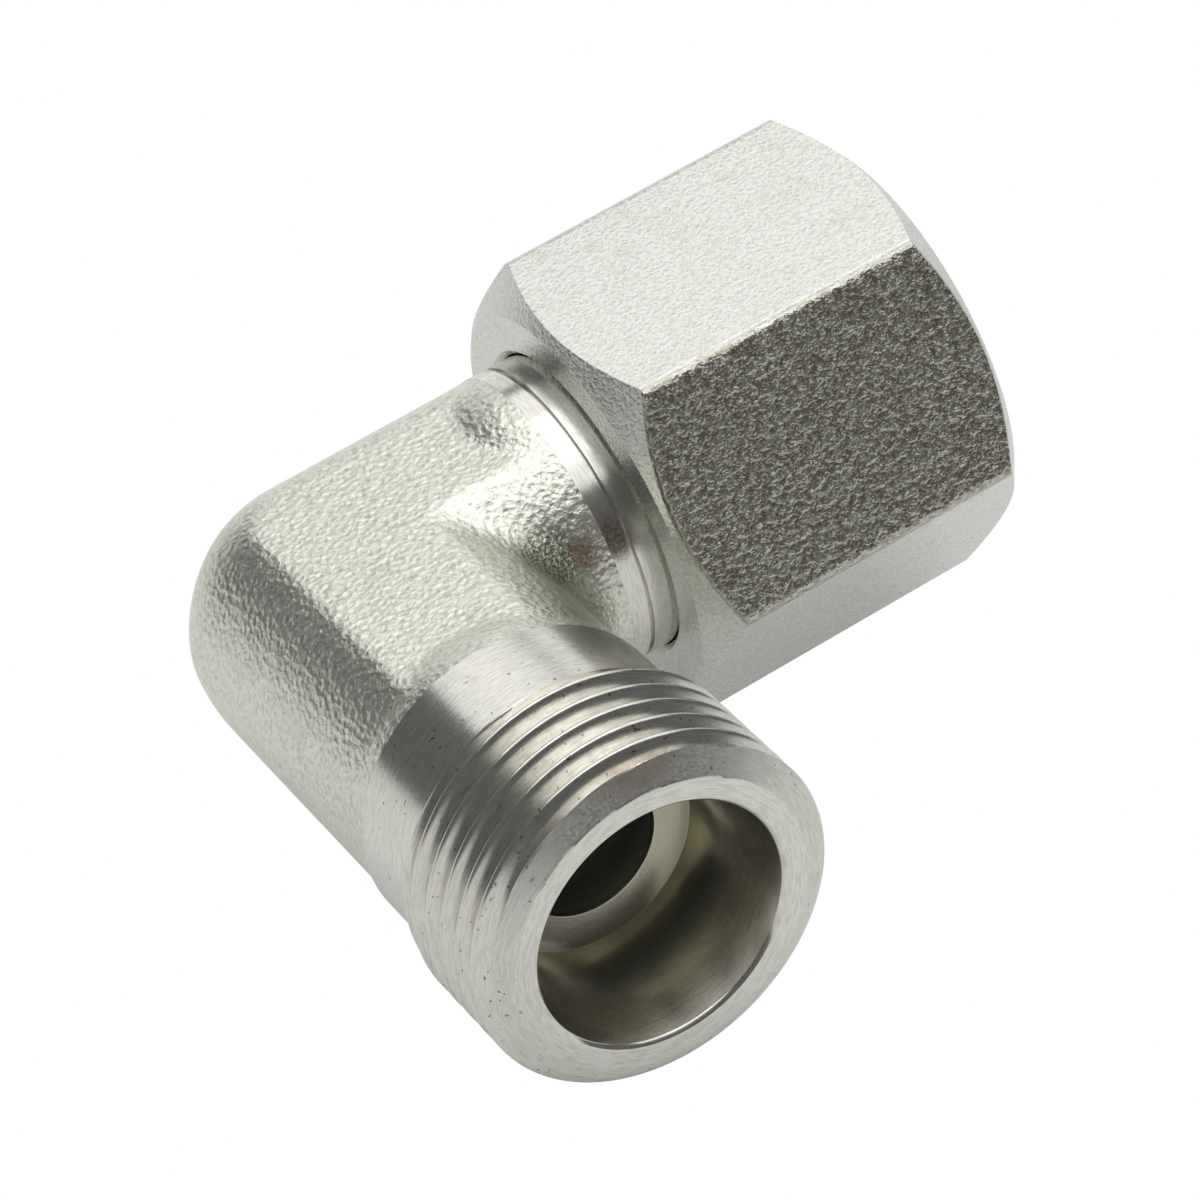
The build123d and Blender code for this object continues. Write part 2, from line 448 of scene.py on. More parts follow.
@dataclass(frozen=True)
class DrawnHexagon:
    """Zinc plate over drawn bar: sandy flats with faint lines along the bar.

    Args:
        light: plate colour.
        dark: colour of the specks' shadows.
        rust: tint of the faint spots.
        tarnish_and_dark_reflection: colour of the coarser flat that faces the front, partly a brown
            tarnished tint and partly a painted dark reflection of the room.
        front: direction of that flat, against the stud and square to both axes.
        reach: distances from the swivel axis between which that colour sets in.
        depth: depth of the grain in millimetres.
    """

    light: Colour = (0.75, 0.76, 0.71)
    dark: Colour = (0.62, 0.63, 0.58)
    rust: Colour = (0.45, 0.36, 0.28)
    tarnish_and_dark_reflection: Colour = (0.29, 0.26, 0.18)
    front: Pair = (-0.906, 0.424)
    reach: Pair = (11.7, 11.95)
    depth: float = 0.06

    def material(self) -> Material:
        """Builds the material."""
        tree = Tree("drawn_hexagon")
        x, y, z = tree.axes()
        sand = tree.noise(0.24, 2.0, 0.6)
        grit = tree.noise(0.4, 2.0, 0.6, shift=29.0)
        streaks = tree.noise(1.0, 2.0, 0.5, at=tree.vector(x * 0.25, y * 3.2, z * 3.2))
        broad = tree.noise(4.0, 2.0, 0.5, shift=11.0)
        colour = tree.mix(sand.between(0.3, 0.66), self.dark, self.light)
        colour = tree.mix(broad.between(0.45, 0.8) * 0.2, colour, self.dark)
        # the one flat that faces the front gets a painted dark reflection with a brown tarnished
        # tint, picked by the flat's direction
        front_flat = ((y - CROSSING) * self.front[0] + z * self.front[1]).between(*self.reach)
        tarnish_and_dark_reflection = front_flat * (grit.between(0.62, 0.36) * 0.55 + 0.3)
        colour = tree.mix(tarnish_and_dark_reflection, colour, self.tarnish_and_dark_reflection)
        spots = tree.noise(1.4, 2.0, 0.5, shift=17.0).between(0.62, 0.74)
        spots = spots * sand.between(0.4, 0.6)
        colour = tree.mix(spots * 0.5, colour, self.rust)
        height = sand * 0.7 + grit * front_flat * 2.7 + streaks * 0.1
        rough = 0.2 + sand * 0.14
        return tree.finish(colour, rough, 0.94, tree.bump(height, self.depth))


@dataclass(frozen=True)
class SpringWire:
    """Drawn spring wire.

    Args:
        colour: colour of the drawn skin.
        dark: colour of its marks.
    """

    colour: Colour = (0.50, 0.50, 0.48)
    dark: Colour = (0.30, 0.30, 0.28)

    def material(self) -> Material:
        """Builds the material."""
        tree = Tree("spring_wire")
        sand = tree.noise(0.2, 2.0, 0.6)
        return tree.finish(tree.mix(sand, self.dark, self.colour), 0.3 + sand * 0.2, 0.95, None)


@dataclass(frozen=True)
class SealRubber:
    """Matte black rubber with a faint bloom.

    Args:
        colour: colour of the rubber.
        bloom: colour of its bloom.
    """

    colour: Colour = (0.018, 0.018, 0.018)
    bloom: Colour = (0.05, 0.05, 0.05)

    def material(self) -> Material:
        """Builds the material."""
        tree = Tree("seal_rubber")
        sand = tree.noise(0.3, 2.0, 0.6)
        colour = tree.mix(sand.between(0.4, 0.8), self.colour, self.bloom)
        return tree.finish(colour, 0.45 + sand * 0.2, 0.0, tree.bump(sand, 0.006))


# mesh helpers


@dataclass(frozen=True)
class Spindle:
    """An axis that shapes are turned about. Its local X runs along the axis.

    Args:
        origin: where the local zero lies, in millimetres.
        along: direction of the axis.
        across: direction of angle zero.
    """

    origin: Point
    along: Point
    across: Point

    def matrix(self) -> Matrix:
        """Local metres to the part's frame."""
        first = Vector(self.along)
        second = Vector(self.across)
        third = first.cross(second)
        axes = Matrix((first, second, third)).transposed().to_4x4()
        return Matrix.Translation(Vector(self.origin) * MM) @ axes


SWIVEL_WAY = (math.cos(math.radians(LIE)), 0.0, math.sin(math.radians(LIE)))
STUD_SPINDLE = Spindle((0, CROSSING, 0), (0, -1, 0), SWIVEL_WAY)
SWIVEL_SPINDLE = Spindle((0, CROSSING, 0), SWIVEL_WAY, (0, 1, 0))


def wire_groove(side: int, angles: Sequence[int]) -> list[Pair]:
    """Section of a half-round groove for the lock wire.

    Args:
        side: 1 for the nut's half, -1 for the shank's.
        angles: where its points lie, in degrees.

    Returns:
        (along, radius) points in millimetres.
    """
    turned = [math.radians(angle) for angle in angles]
    return [
        (WIRE_AT + GROOVE_RADIUS * math.cos(a), GROOVE_CIRCLE + side * GROOVE_RADIUS * math.sin(a))
        for a in turned
    ]


def face_out(bm: BMesh) -> None:
    """Turns every face of a closed mesh outwards."""
    bmesh.ops.recalc_face_normals(bm, faces=bm.faces)
    if bm.calc_volume(signed=True) < 0:
        bmesh.ops.reverse_faces(bm, faces=bm.faces)


def link(name: str, data: bpy.types.ID) -> Object:
    """Makes an object and links it to the scene."""
    made = bpy.data.objects.new(name, data)
    bpy.context.scene.collection.objects.link(made)
    return made


def link_mesh(name: str, bm: BMesh) -> Object:
    """Makes an object of a mesh, which is freed, and links it to the scene."""
    mesh = bpy.data.meshes.new(name)
    bm.to_mesh(mesh)
    bm.free()
    return link(name, mesh)


def bake(holder: Object) -> BMesh:
    """Applies an object's modifiers, removes the object and returns its mesh."""
    graph = bpy.context.evaluated_depsgraph_get()
    baked = bpy.data.meshes.new_from_object(holder.evaluated_get(graph))
    bpy.data.objects.remove(holder)
    result = bmesh.new()
    result.from_mesh(baked)
    return result


def chain(bm: BMesh, points: Sequence[Pair], closed: bool = False) -> list[BMVert | BMEdge]:
    """Draws a section in the local plane.

    Args:
        bm: mesh to draw in.
        points: (along, radius) in millimetres.
        closed: joins the last point to the first.

    Returns:
        Its vertices and edges.
    """
    verts = [bm.verts.new((s * MM, r * MM, 0)) for s, r in points]
    pairs = list(zip(verts, verts[1:])) + ([(verts[-1], verts[0])] if closed else [])
    return verts + [bm.edges.new(pair) for pair in pairs]


def spin(bm: BMesh, geom: list[BMVert | BMEdge], steps: int, lead: float, merge: bool) -> None:
    """Turns a drawn section one revolution about the local axis.

    Args:
        bm: mesh to build in.
        geom: the section, as chain() gives it.
        steps: steps to a revolution.
        lead: how far it moves along the axis meanwhile, in metres.
        merge: joins the last step to the first.
    """
    bmesh.ops.spin(
        bm,
        geom=geom,
        cent=(0, 0, 0),
        axis=(1, 0, 0),
        dvec=(lead / steps, 0, 0),
        angle=FULL_TURN,
        steps=steps,
        use_merge=merge,
    )


def turn(bm: BMesh, points: Sequence[Pair], steps: int, closed: bool = False) -> None:
    """Turns a section a full revolution about the local axis."""
    spin(bm, chain(bm, points, closed), steps, 0.0, True)


def screw(
    bm: BMesh, tooth: Sequence[Pair], pitch: float, start: float, teeth: int, steps: int
) -> None:
    """Turns a row of teeth one revolution while it moves on by one pitch.

    Args:
        bm: mesh to build in.
        tooth: (along, radius) of one tooth, without the point that starts the next.
        pitch: lead of the thread in millimetres.
        start: where the first tooth starts, along the axis.
        teeth: number of teeth in the row.
        steps: steps to a revolution.
    """
    row = [(start + pitch * k + s, r) for k in range(teeth) for s, r in tooth]
    row.append((start + pitch * teeth + tooth[0][0], tooth[0][1]))
    spin(bm, chain(bm, row), steps, pitch * MM, False)
    bmesh.ops.remove_doubles(bm, verts=bm.verts, dist=SEAM)


def cut(bm: BMesh, place: Vector, normal: Vector, clear: bool) -> None:
    """Cuts the mesh by a plane and, if asked, clears what lies on the normal's side."""
    bmesh.ops.bisect_plane(
        bm,
        geom=bm.verts[:] + bm.edges[:] + bm.faces[:],
        dist=1e-8,
        plane_co=place,
        plane_no=normal,
        clear_outer=clear,
    )


def ring(
    bm: BMesh, spindle: Spindle | None, along: float, low: float, high: float
) -> list[tuple[float, BMVert]]:
    """Open vertices of one ring, in order round the axis.

    Args:
        bm: mesh to look in.
        spindle: the axis, or None if the mesh is still in its local frame.
        along: distance along the axis in millimetres.
        low: smallest radius of the ring in millimetres.
        high: largest radius.

    Returns:
        (angle, vertex) pairs.
    """
    to_local = spindle.matrix().inverted() if spindle is not None else Matrix.Identity(4)
    found = []
    for vert in bm.verts:
        if vert.is_boundary:
            place = to_local @ vert.co / MM
            if abs(place.x - along) < 2e-3 and low <= math.hypot(place.y, place.z) <= high:
                found.append((math.atan2(place.z, place.y), vert))
    return sorted(found, key=lambda pair: pair[0])


def zip_rings(
    bm: BMesh, first: list[tuple[float, BMVert]], second: list[tuple[float, BMVert]]
) -> None:
    """Joins two rings by a band of triangles, whatever their counts.

    Args:
        bm: mesh that both rings belong to.
        first: one ring, as ring() gives it.
        second: the other.
    """
    ends = [(pairs[0][0] + FULL_TURN, pairs[0][1]) for pairs in (first, second)]
    near, far = first + [ends[0]], second + [ends[1]]
    i = j = 0
    while i < len(first) or j < len(second):
        step_near = j == len(second) or (i < len(first) and near[i + 1][0] <= far[j + 1][0])
        third = near[i + 1][1] if step_near else far[j + 1][1]
        bm.faces.new((near[i][1], third, far[j][1]))
        i, j = (i + 1, j) if step_near else (i, j + 1)


def soften(bm: BMesh, angle: float, width: float, keep: Callable[[BMEdge], bool]) -> None:
    """Bevels the sharp edges.

    Args:
        bm: mesh to work on.
        angle: edges sharper than this many degrees are bevelled.
        width: the bevel's width in millimetres.
        keep: says whether a sharp edge is bevelled.
    """
    limit = math.radians(angle)
    edges = [
        edge
        for edge in bm.edges
        if len(edge.link_faces) == 2 and edge.calc_face_angle(0) > limit and keep(edge)
    ]
    bmesh.ops.bevel(
        bm,
        geom=edges,
        offset=width * MM,
        offset_type="OFFSET",
        segments=2,
        profile=0.5,
        affect="EDGES",
        clamp_overlap=True,
        material=-1,
    )


def pierce(bm: BMesh, middle: Vector, way: Vector, radius: float, length: float) -> BMesh:
    """Drills a round hole through a closed mesh.

    Args:
        bm: the mesh; it is freed.
        middle: middle of the drill in millimetres.
        way: direction of the hole.
        radius: radius of the hole in millimetres.
        length: length of the drill in millimetres.

    Returns:
        The drilled mesh.
    """
    drill = bmesh.new()
    wide = radius * MM
    bmesh.ops.create_cone(
        drill, cap_ends=True, segments=48, radius1=wide, radius2=wide, depth=length * MM
    )
    matrix = Matrix.Translation(middle * MM) @ way.to_track_quat("Z", "Y").to_matrix().to_4x4()
    bmesh.ops.transform(drill, matrix=matrix, verts=drill.verts)
    draft = link_mesh("hole_draft", bm)
    cutter = link_mesh("drill_draft", drill)
    hole = draft.modifiers.new("hole", "BOOLEAN")
    hole.operation = "DIFFERENCE"
    hole.solver = "EXACT"
    hole.object = cutter
    drilled = bake(draft)
    bpy.data.objects.remove(cutter)
    return drilled


def publish(
    bm: BMesh,
    name: str,
    spindle: Spindle | None,
    body: Body,
    material: Material,
    sharp: float = 32.0,
) -> Object:
    """Makes a piece from a finished mesh.

    Args:
        bm: the mesh; it is freed.
        name: the piece's name.
        spindle: axis that the mesh was made about, or None if it is in the part's frame.
        body: the body it rides on.
        material: its material.
        sharp: edges over this many degrees stay sharp in shading.

    Returns:
        The piece.
    """
    if spindle is not None:
        bmesh.ops.transform(bm, matrix=spindle.matrix(), verts=bm.verts)
    face_out(bm)
    limit = math.radians(sharp)
    for face in bm.faces:
        face.smooth = True
    for edge in bm.edges:
        edge.smooth = edge.calc_face_angle(0) < limit
    piece = link_mesh(name, bm)
    piece.data.materials.append(material)
    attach(piece, body.value)
    triangles = sum(len(p.vertices) - 2 for p in piece.data.polygons)
    LOG.info("%s: %d triangles", name, triangles)
    return piece


# the elbow


@dataclass
class Thread:
    """Sections of an M20 x 1.5 thread, in millimetres.

    Args:
        crest: radius over the stud's crests.
        root: radius at the stud's roots.
        bore: radius over the nut's crests.
        pitch: lead of one turn.
        crest_width: flat on top of a tooth.
        root_width: flat between two teeth.
        flank_parts: parts that a flank is divided into.
    """

    crest: float = 10.0
    root: float = 9.08
    bore: float = 9.188
    pitch: float = 1.5
    crest_width: float = 0.19
    root_width: float = 0.25
    flank_parts: int = 7

    def outer_tooth(self) -> list[Pair]:
        """One tooth of the stud, from the middle of a valley, with a fine division."""
        half_root = self.root_width / 2
        half_crest = self.crest_width / 2
        middle = self.pitch / 2
        run = middle - half_crest - half_root
        rise = self.crest - self.root
        flank = [
            (half_root + run * k / self.flank_parts, self.root + rise * k / self.flank_parts)
            for k in range(1, self.flank_parts)
        ]
        left = [
            (0.0, self.root),
            (half_root * 0.8, self.root + 0.012),
            *flank,
            (middle - half_crest, self.crest - 0.02),
            (middle - half_crest * 0.6, self.crest),
            (middle, self.crest),
        ]
        right = [(self.pitch - s, r) for s, r in reversed(left[1:-1])]
        return left + right

    def inner_tooth(self) -> list[Pair]:
        """One tooth of the nut, from the middle of a crest."""
        half_crest = self.pitch / 8
        half_root = self.pitch / 16
        middle = self.pitch / 2
        left = [
            (0.0, self.bore),
            (half_crest, self.bore),
            (half_crest + 0.03, self.bore + 0.02),
            (middle - half_root, self.crest),
            (middle, self.crest + 0.02),
        ]
        right = [(self.pitch - s, r) for s, r in reversed(left[1:-1])]
        return left + right


@dataclass
class StudEnd:
    """Threaded stud with the tube port, from the turned neck to the end face.

    Args:
        steps: steps to a revolution.
        neck: radius of the turned neck.
        neck_end: where the neck ends and the thread runs out.
        full_thread: where the crests reach their full height.
        chamfer_start: where the end chamfer starts.
        chamfer_cuts: stations that divide the chamfer.
        face: radius of the end face.
        crest_at: where a crest crosses angle zero.
        teeth: turns of thread that are made before the ends are cut.
        socket: radius of the tube socket.
        socket_floor: the stop that the tube stands on.
        cone_start: where the cone leaves the socket.
        cone_mouth: radius at the cone's wide end.
        mouth_edge: size of the broken edge round the mouth.
        edge: width of the bevel on the port's edges.
        port_start: edges of the port past this are bevelled.
        thread: the thread's sections.
    """

    steps: int = 192
    neck: float = 9.1
    neck_end: float = 21.4
    full_thread: float = 22.4
    chamfer_start: float = 30.15
    chamfer_cuts: Pair = (30.45, 30.72)
    face: float = 8.4
    crest_at: float = 24.13
    teeth: int = 9
    socket: float = 6.1
    socket_floor: float = 23.5
    cone_start: float = 26.33
    cone_mouth: float = 7.05
    mouth_edge: float = 0.2
    edge: float = 0.05
    port_start: float = 20.0
    thread: Thread = field(default_factory=Thread)

    def envelope(self, along: float) -> float:
        """Largest radius that the turned blank had there."""
        if along < self.neck_end:
            return self.neck
        if along < self.full_thread:
            share = (along - self.neck_end) / (self.full_thread - self.neck_end)
            return self.neck + (self.thread.crest - self.neck) * share
        if along < self.chamfer_start:
            return self.thread.crest
        share = (along - self.chamfer_start) / (CROSSING - self.chamfer_start)
        return self.thread.crest + (self.face - self.thread.crest) * share

    def build(self, material: Material) -> Object:
        """Builds the piece."""
        bm = bmesh.new()
        first = self.crest_at - self.thread.pitch * 3.5
        tooth = self.thread.outer_tooth()
        screw(bm, tooth, self.thread.pitch, first, self.teeth, self.steps)
        for station in (self.neck_end, self.full_thread, self.chamfer_start, *self.chamfer_cuts):
            cut(bm, Vector((station * MM, 0, 0)), Vector((1, 0, 0)), False)
        thread_start = self.neck_end - 0.05
        neck_stop = thread_start - 0.1
        cut(bm, Vector((CROSSING * MM, 0, 0)), Vector((1, 0, 0)), True)
        cut(bm, Vector((thread_start * MM, 0, 0)), Vector((-1, 0, 0)), True)
        for vert in bm.verts:
            radius = math.hypot(vert.co.y, vert.co.z)
            share = min(1.0, self.envelope(vert.co.x / MM) * MM / radius)
            vert.co.y *= share
            vert.co.z *= share
        outside = [(neck_stop, self.neck), (STUD_FORGED + 1.0, self.neck), (STUD_FORGED, self.neck)]
        port = [
            (STUD_FORGED, PASSAGE),
            (self.socket_floor, PASSAGE),
            (self.socket_floor, self.socket),
            (self.cone_start, self.socket),
            (CROSSING - self.mouth_edge, self.cone_mouth),
            (CROSSING, self.cone_mouth + self.mouth_edge),
        ]
        turn(bm, outside + port, self.steps)
        thread_root = ring(bm, None, thread_start, self.neck - 0.1, self.neck + 0.1)
        neck_rim = ring(bm, None, neck_stop, self.neck - 0.1, self.neck + 0.1)
        zip_rings(bm, thread_root, neck_rim)
        face_rim = ring(bm, None, CROSSING, self.face - 0.1, self.face + 0.1)
        mouth_rim = ring(bm, None, CROSSING, self.cone_mouth + 0.05, self.cone_mouth + 0.35)
        zip_rings(bm, face_rim, mouth_rim)
        bmesh.ops.recalc_face_normals(bm, faces=bm.faces)
        soften(bm, 20, self.edge, self._in_port)
        return publish(bm, "stud_end", STUD_SPINDLE, Body.ELBOW, material)

    def _in_port(self, edge: BMEdge) -> bool:
        """Says whether an edge belongs to the port."""
        widest = (self.cone_mouth + 0.55) * MM
        start = self.port_start * MM
        return all(math.hypot(v.co.y, v.co.z) < widest and v.co.x > start for v in edge.verts)


@dataclass
class ShankAndNose:
    """Turned shank, tapered nose and its grooves, as one shell.

    Args:
        steps: steps to a revolution.
        shank: radius of the shank.
        edge: width of the bevel on the nose's edges.
        nose_start: edges past this are bevelled.
    """

    steps: int = 160
    shank: float = 8.9
    edge: float = 0.04
    nose_start: float = 18.0

    def build(self, material: Material) -> Object:
        """Builds the piece."""
        bm = bmesh.new()
        collar = [(SHANK_START, self.shank), (12.61, self.shank)]
        tool_line = [(12.63, 8.62), (12.87, 8.62), (12.89, self.shank)]
        shoulder = [(20.5, self.shank), (20.8, 8.6), (20.8, 7.2), (22.7, 7.2)]
        taper = [(23.0, 7.45), (25.95, 6.83)]
        seal_groove = [(25.95, 5.5), (27.85, 5.5), (27.85, 6.42)]
        tip = [(31.9, 5.56), (32.2, 5.2), (32.2, 4.3), (31.9, PASSAGE)]
        section = [
            *collar,
            *tool_line,
            *wire_groove(-1, range(175, 0, -17)),
            *shoulder,
            *taper,
            *seal_groove,
            *tip,
            (SHANK_START, PASSAGE),
        ]
        turn(bm, section, self.steps, closed=True)
        bmesh.ops.recalc_face_normals(bm, faces=bm.faces)
        start = self.nose_start * MM
        soften(bm, 30, self.edge, lambda edge: all(v.co.x > start for v in edge.verts))
        return publish(bm, "shank_and_nose", SWIVEL_SPINDLE, Body.ELBOW, material)


@dataclass
class ForgedBend:
    """The forged part of the body, remade from the CAD node with softened edges.

    Args:
        voxel: size of the remesh in millimetres.
        smoothing: rounds of smoothing.
        spare: length that is smoothed and cut off again at each end, in millimetres.
    """

    voxel: float = 0.24
    smoothing: int = 6
    spare: float = 0.6

    def _trim(self, bm: BMesh, spare: float) -> None:
        """Cuts both ends off square to their arms, spare millimetres past the turned parts."""
        stud_cut = Vector((0, (CROSSING - STUD_FORGED - spare) * MM, 0))
        cut(bm, stud_cut, Vector((0, -1, 0)), True)
        way = Vector(SWIVEL_WAY)
        swivel_cut = Vector((0, CROSSING * MM, 0)) + way * (SHANK_START + spare) * MM
        cut(bm, swivel_cut, way, True)

    def build(self, node: Object, material: Material) -> Object:
        """Builds the piece from a merged copy of the CAD node.

        Args:
            node: the CAD node.
            material: the piece's material.

        Returns:
            The piece.
        """
        bm = bmesh.new()
        bm.from_mesh(node.data)
        bmesh.ops.remove_doubles(bm, verts=bm.verts, dist=1e-6)
        holder = link_mesh("bend_draft", bm)
        remesh = holder.modifiers.new("remesh", "REMESH")
        remesh.mode = "VOXEL"
        remesh.voxel_size = self.voxel * MM
        bm = bake(holder)
        self._trim(bm, self.spare)
        for _ in range(self.smoothing):
            inner = [v for v in bm.verts if not v.is_boundary]
            bmesh.ops.smooth_vert(
                bm, verts=inner, factor=0.5, use_axis_x=True, use_axis_y=True, use_axis_z=True
            )
        self._trim(bm, 0.0)
        for spindle, along in ((STUD_SPINDLE, STUD_FORGED), (SWIVEL_SPINDLE, SHANK_START)):
            outer_rim = ring(bm, spindle, along, PASSAGE + 2, PASSAGE + 8)
            inner_rim = ring(bm, spindle, along, PASSAGE - 2, PASSAGE + 2)
            zip_rings(bm, outer_rim, inner_rim)
        return publish(bm, "forged_bend", None, Body.ELBOW, material, sharp=60.0)


@dataclass
class SealRing:
    """Round rubber ring in the nose's groove.

    Args:
        along: middle of the ring along the swivel arm.
        circle: radius of the cord's middle line.
        cord: diameter of the cord.
        sides: sides of the cord's section.
    """

    along: float = 26.9
    circle: float = 6.27
    cord: float = 1.5
    sides: int = 20

    def build(self, material: Material) -> Object:
        """Builds the piece."""
        bm = bmesh.new()
        angles = [FULL_TURN * k / self.sides for k in range(self.sides)]
        section = [
            (
                self.along + self.cord / 2 * math.cos(angle),
                self.circle + self.cord / 2 * math.sin(angle),
            )
            for angle in angles
        ]
        turn(bm, section, 96, closed=True)
        return publish(bm, "seal_ring", SWIVEL_SPINDLE, Body.ELBOW, material)


# the nut


@dataclass
class Nut:
    """Captive hexagon nut: outer faces, chamfers, bore, wire groove, feed hole and thread.

    Args:
        across_flats: size of the hexagon.
        start: the nut's back along the swivel arm.
        end: its open end.
        turned: degrees that a corner stands turned from +Y.
        face: radius of the flat ends inside the chamfers.
        chamfer_angle: slope of the chamfers in degrees.
        corner_round: radius of the hexagon's corners.
        bore: radius round the shank.
        feed_hole: radius of the wire's feed hole.
        feed_angle: direction of the feed hole in degrees.
        drill_middle: radius at the middle of its drill.
        drill_length: length of that drill.
        relief: radius of the turned relief behind the thread.
        relief_start: where the relief starts.
        relief_end: where it ends and the thread starts.
        mouth_chamfer: depth of the chamfer at the thread's mouth.
        flat_columns: columns of faces on a flat.
        corner_columns: columns on a corner.
        crest_at: where the first crest crosses angle zero.
        teeth: turns of thread that are made before the ends are cut.
        thread: the thread's sections.
    """

    across_flats: float = 24.0
    start: float = 14.2
    end: float = 34.7
    turned: float = 4.9
    face: float = 11.4
    chamfer_angle: float = 36.0
    corner_round: float = 0.8
    bore: float = 8.96
    feed_hole: float = 1.1
    feed_angle: float = -25.1
    drill_middle: float = 11.5
    drill_length: float = 6.0
    relief: float = 10.15
    relief_start: float = 19.9
    relief_end: float = 21.9
    mouth_chamfer: float = 1.0
    flat_columns: int = 26
    corner_columns: int = 10
    crest_at: float = 20.0
    teeth: int = 11
    thread: Thread = field(default_factory=Thread)

    def outline(self) -> list[Pair]:
        """(angle, radius) round the hexagon, closer together at the corners."""
        half = self.across_flats / 2
        corner_centre = (half - self.corner_round) / math.cos(math.pi / 6)
        points: list[Pair] = []
        for corner in range(6):
            base = math.radians(self.turned + 60 * corner)
            for k in range(self.corner_columns + 1):
                swing = math.pi / 6 * (2 * k / self.corner_columns - 1)
                u = corner_centre + self.corner_round * math.cos(swing)
                v = self.corner_round * math.sin(swing)
                points.append((base + math.atan2(v, u), math.hypot(u, v)))
            edge = points[-1][0] - base
            span = math.pi / 3 - 2 * edge
            for k in range(1, self.flat_columns):
                share = k / self.flat_columns
                if k in (1, self.flat_columns - 1):
                    share = 0.5 - 0.5 * math.cos(math.pi * share)
                angle = base + edge + span * share
                points.append((angle, half / math.cos(angle - base - math.pi / 6)))
        return points

    def _stations(self) -> list[Callable[[float], Pair]]:
        """Rings of the outside and the bore, each as (along, radius) for an outline radius."""
        slope = math.tan(math.radians(self.chamfer_angle))

        def level(along: float, radius: float) -> Callable[[float], Pair]:
            """A round ring."""
            return lambda out: (along, radius)

        groove = [level(*point) for point in wire_groove(1, range(2, 180, 16))]
        return [
            level(self.relief_start, self.bore),
            *groove,
            level(self.start + 0.3, self.bore),
            level(self.start, self.bore + 0.3),
            level(self.start, self.face - 0.35),
            level(self.start, self.face),
            lambda out: (self.start + (out - self.face) * slope, out),
            lambda out: (self.start + (out - self.face) * slope + 0.5, out),
            lambda out: (self.end - (out - self.face) * slope - 0.5, out),
            lambda out: (self.end - (out - self.face) * slope, out),
            level(self.end, self.face),
            level(self.end, self.face - 0.35),
            level(self.end, self.face - 0.7),
        ]

    def _skin(self, bm: BMesh) -> None:
        """Skins the outside and the bore."""
        outline = self.outline()
        previous: list[BMVert] = []
        for station in self._stations():
            row = []
            for angle, out in outline:
                along, radius = station(out)
                y, z = radius * math.cos(angle), radius * math.sin(angle)
                row.append(bm.verts.new((along * MM, y * MM, z * MM)))
            if previous:
                for k in range(len(row)):
                    bm.faces.new((previous[k - 1], previous[k], row[k], row[k - 1]))
            previous = row

    def _thread(self, bm: BMesh, steps: int) -> None:
        """Cuts the internal thread and opens it towards the mouth."""
        tooth = self.thread.inner_tooth()
        screw(bm, tooth, self.thread.pitch, self.crest_at, self.teeth, steps)
        cut(bm, Vector((self.end * MM, 0, 0)), Vector((1, 0, 0)), True)
        cut(bm, Vector((self.relief_end * MM, 0, 0)), Vector((-1, 0, 0)), True)
        for vert in bm.verts:
            past = vert.co.x / MM - (self.end - self.mouth_chamfer)
            floor = self.thread.bore + max(0.0, past)
            share = max(1.0, floor * MM / math.hypot(vert.co.y, vert.co.z))
            vert.co.y *= share
            vert.co.z *= share

    def build(self, material: Material) -> Object:
        """Builds the piece."""
        steps = 6 * (self.flat_columns + self.corner_columns)
        bm = bmesh.new()
        self._thread(bm, steps)
        self._skin(bm)
        mouth = self.thread.bore + self.mouth_chamfer
        thread_mouth = ring(bm, None, self.end, mouth - 0.02, mouth + 0.25)
        face_rim = ring(bm, None, self.end, self.face - 0.8, self.face - 0.6)
        zip_rings(bm, thread_mouth, face_rim)
        relief_inside = self.bore + 0.34
        relief = [
            (self.relief_start, relief_inside),
            (self.relief_start, self.relief),
            (self.relief_end, self.relief),
        ]
        turn(bm, relief, steps)
        bore_edge = self.bore + 0.04
        bore_rim = ring(bm, None, self.relief_start, self.bore - 0.06, bore_edge)
        relief_rim = ring(bm, None, self.relief_start, relief_inside - 0.05, relief_inside + 0.05)
        zip_rings(bm, bore_rim, relief_rim)
        thread_rim = ring(bm, None, self.relief_end, bore_edge, self.relief - 0.05)
        relief_end = ring(bm, None, self.relief_end, self.relief - 0.01, self.relief + 0.01)
        zip_rings(bm, thread_rim, relief_end)
        face_out(bm)
        feed = math.radians(self.feed_angle)
        way = Vector((0, math.cos(feed), math.sin(feed)))
        middle = Vector((WIRE_AT, 0, 0)) + way * self.drill_middle
        bm = pierce(bm, middle, way, self.feed_hole, self.drill_length)
        return publish(bm, "hexagon_nut", SWIVEL_SPINDLE, Body.NUT, material, sharp=28.0)


# studio


@dataclass
class Panel:
    """A soft light.

    Args:
        name: its name.
        place: where it hangs, in millimetres.
        aim: what it points at, in millimetres.
        size: width and height in millimetres.
        watts: its power.
    """

    name: str
    place: Point
    aim: Point
    size: Pair
    watts: float

    def build(self) -> None:
        """Adds the light."""
        data = bpy.data.lights.new(self.name, "AREA")
        data.shape = "RECTANGLE"
        data.size, data.size_y = (s * MM for s in self.size)
        data.energy = self.watts
        lamp = link(self.name, data)
        lamp.location = Vector(self.place) * MM
        way = Vector(self.aim) - Vector(self.place)
        lamp.rotation_euler = way.to_track_quat("-Z", "Y").to_euler()


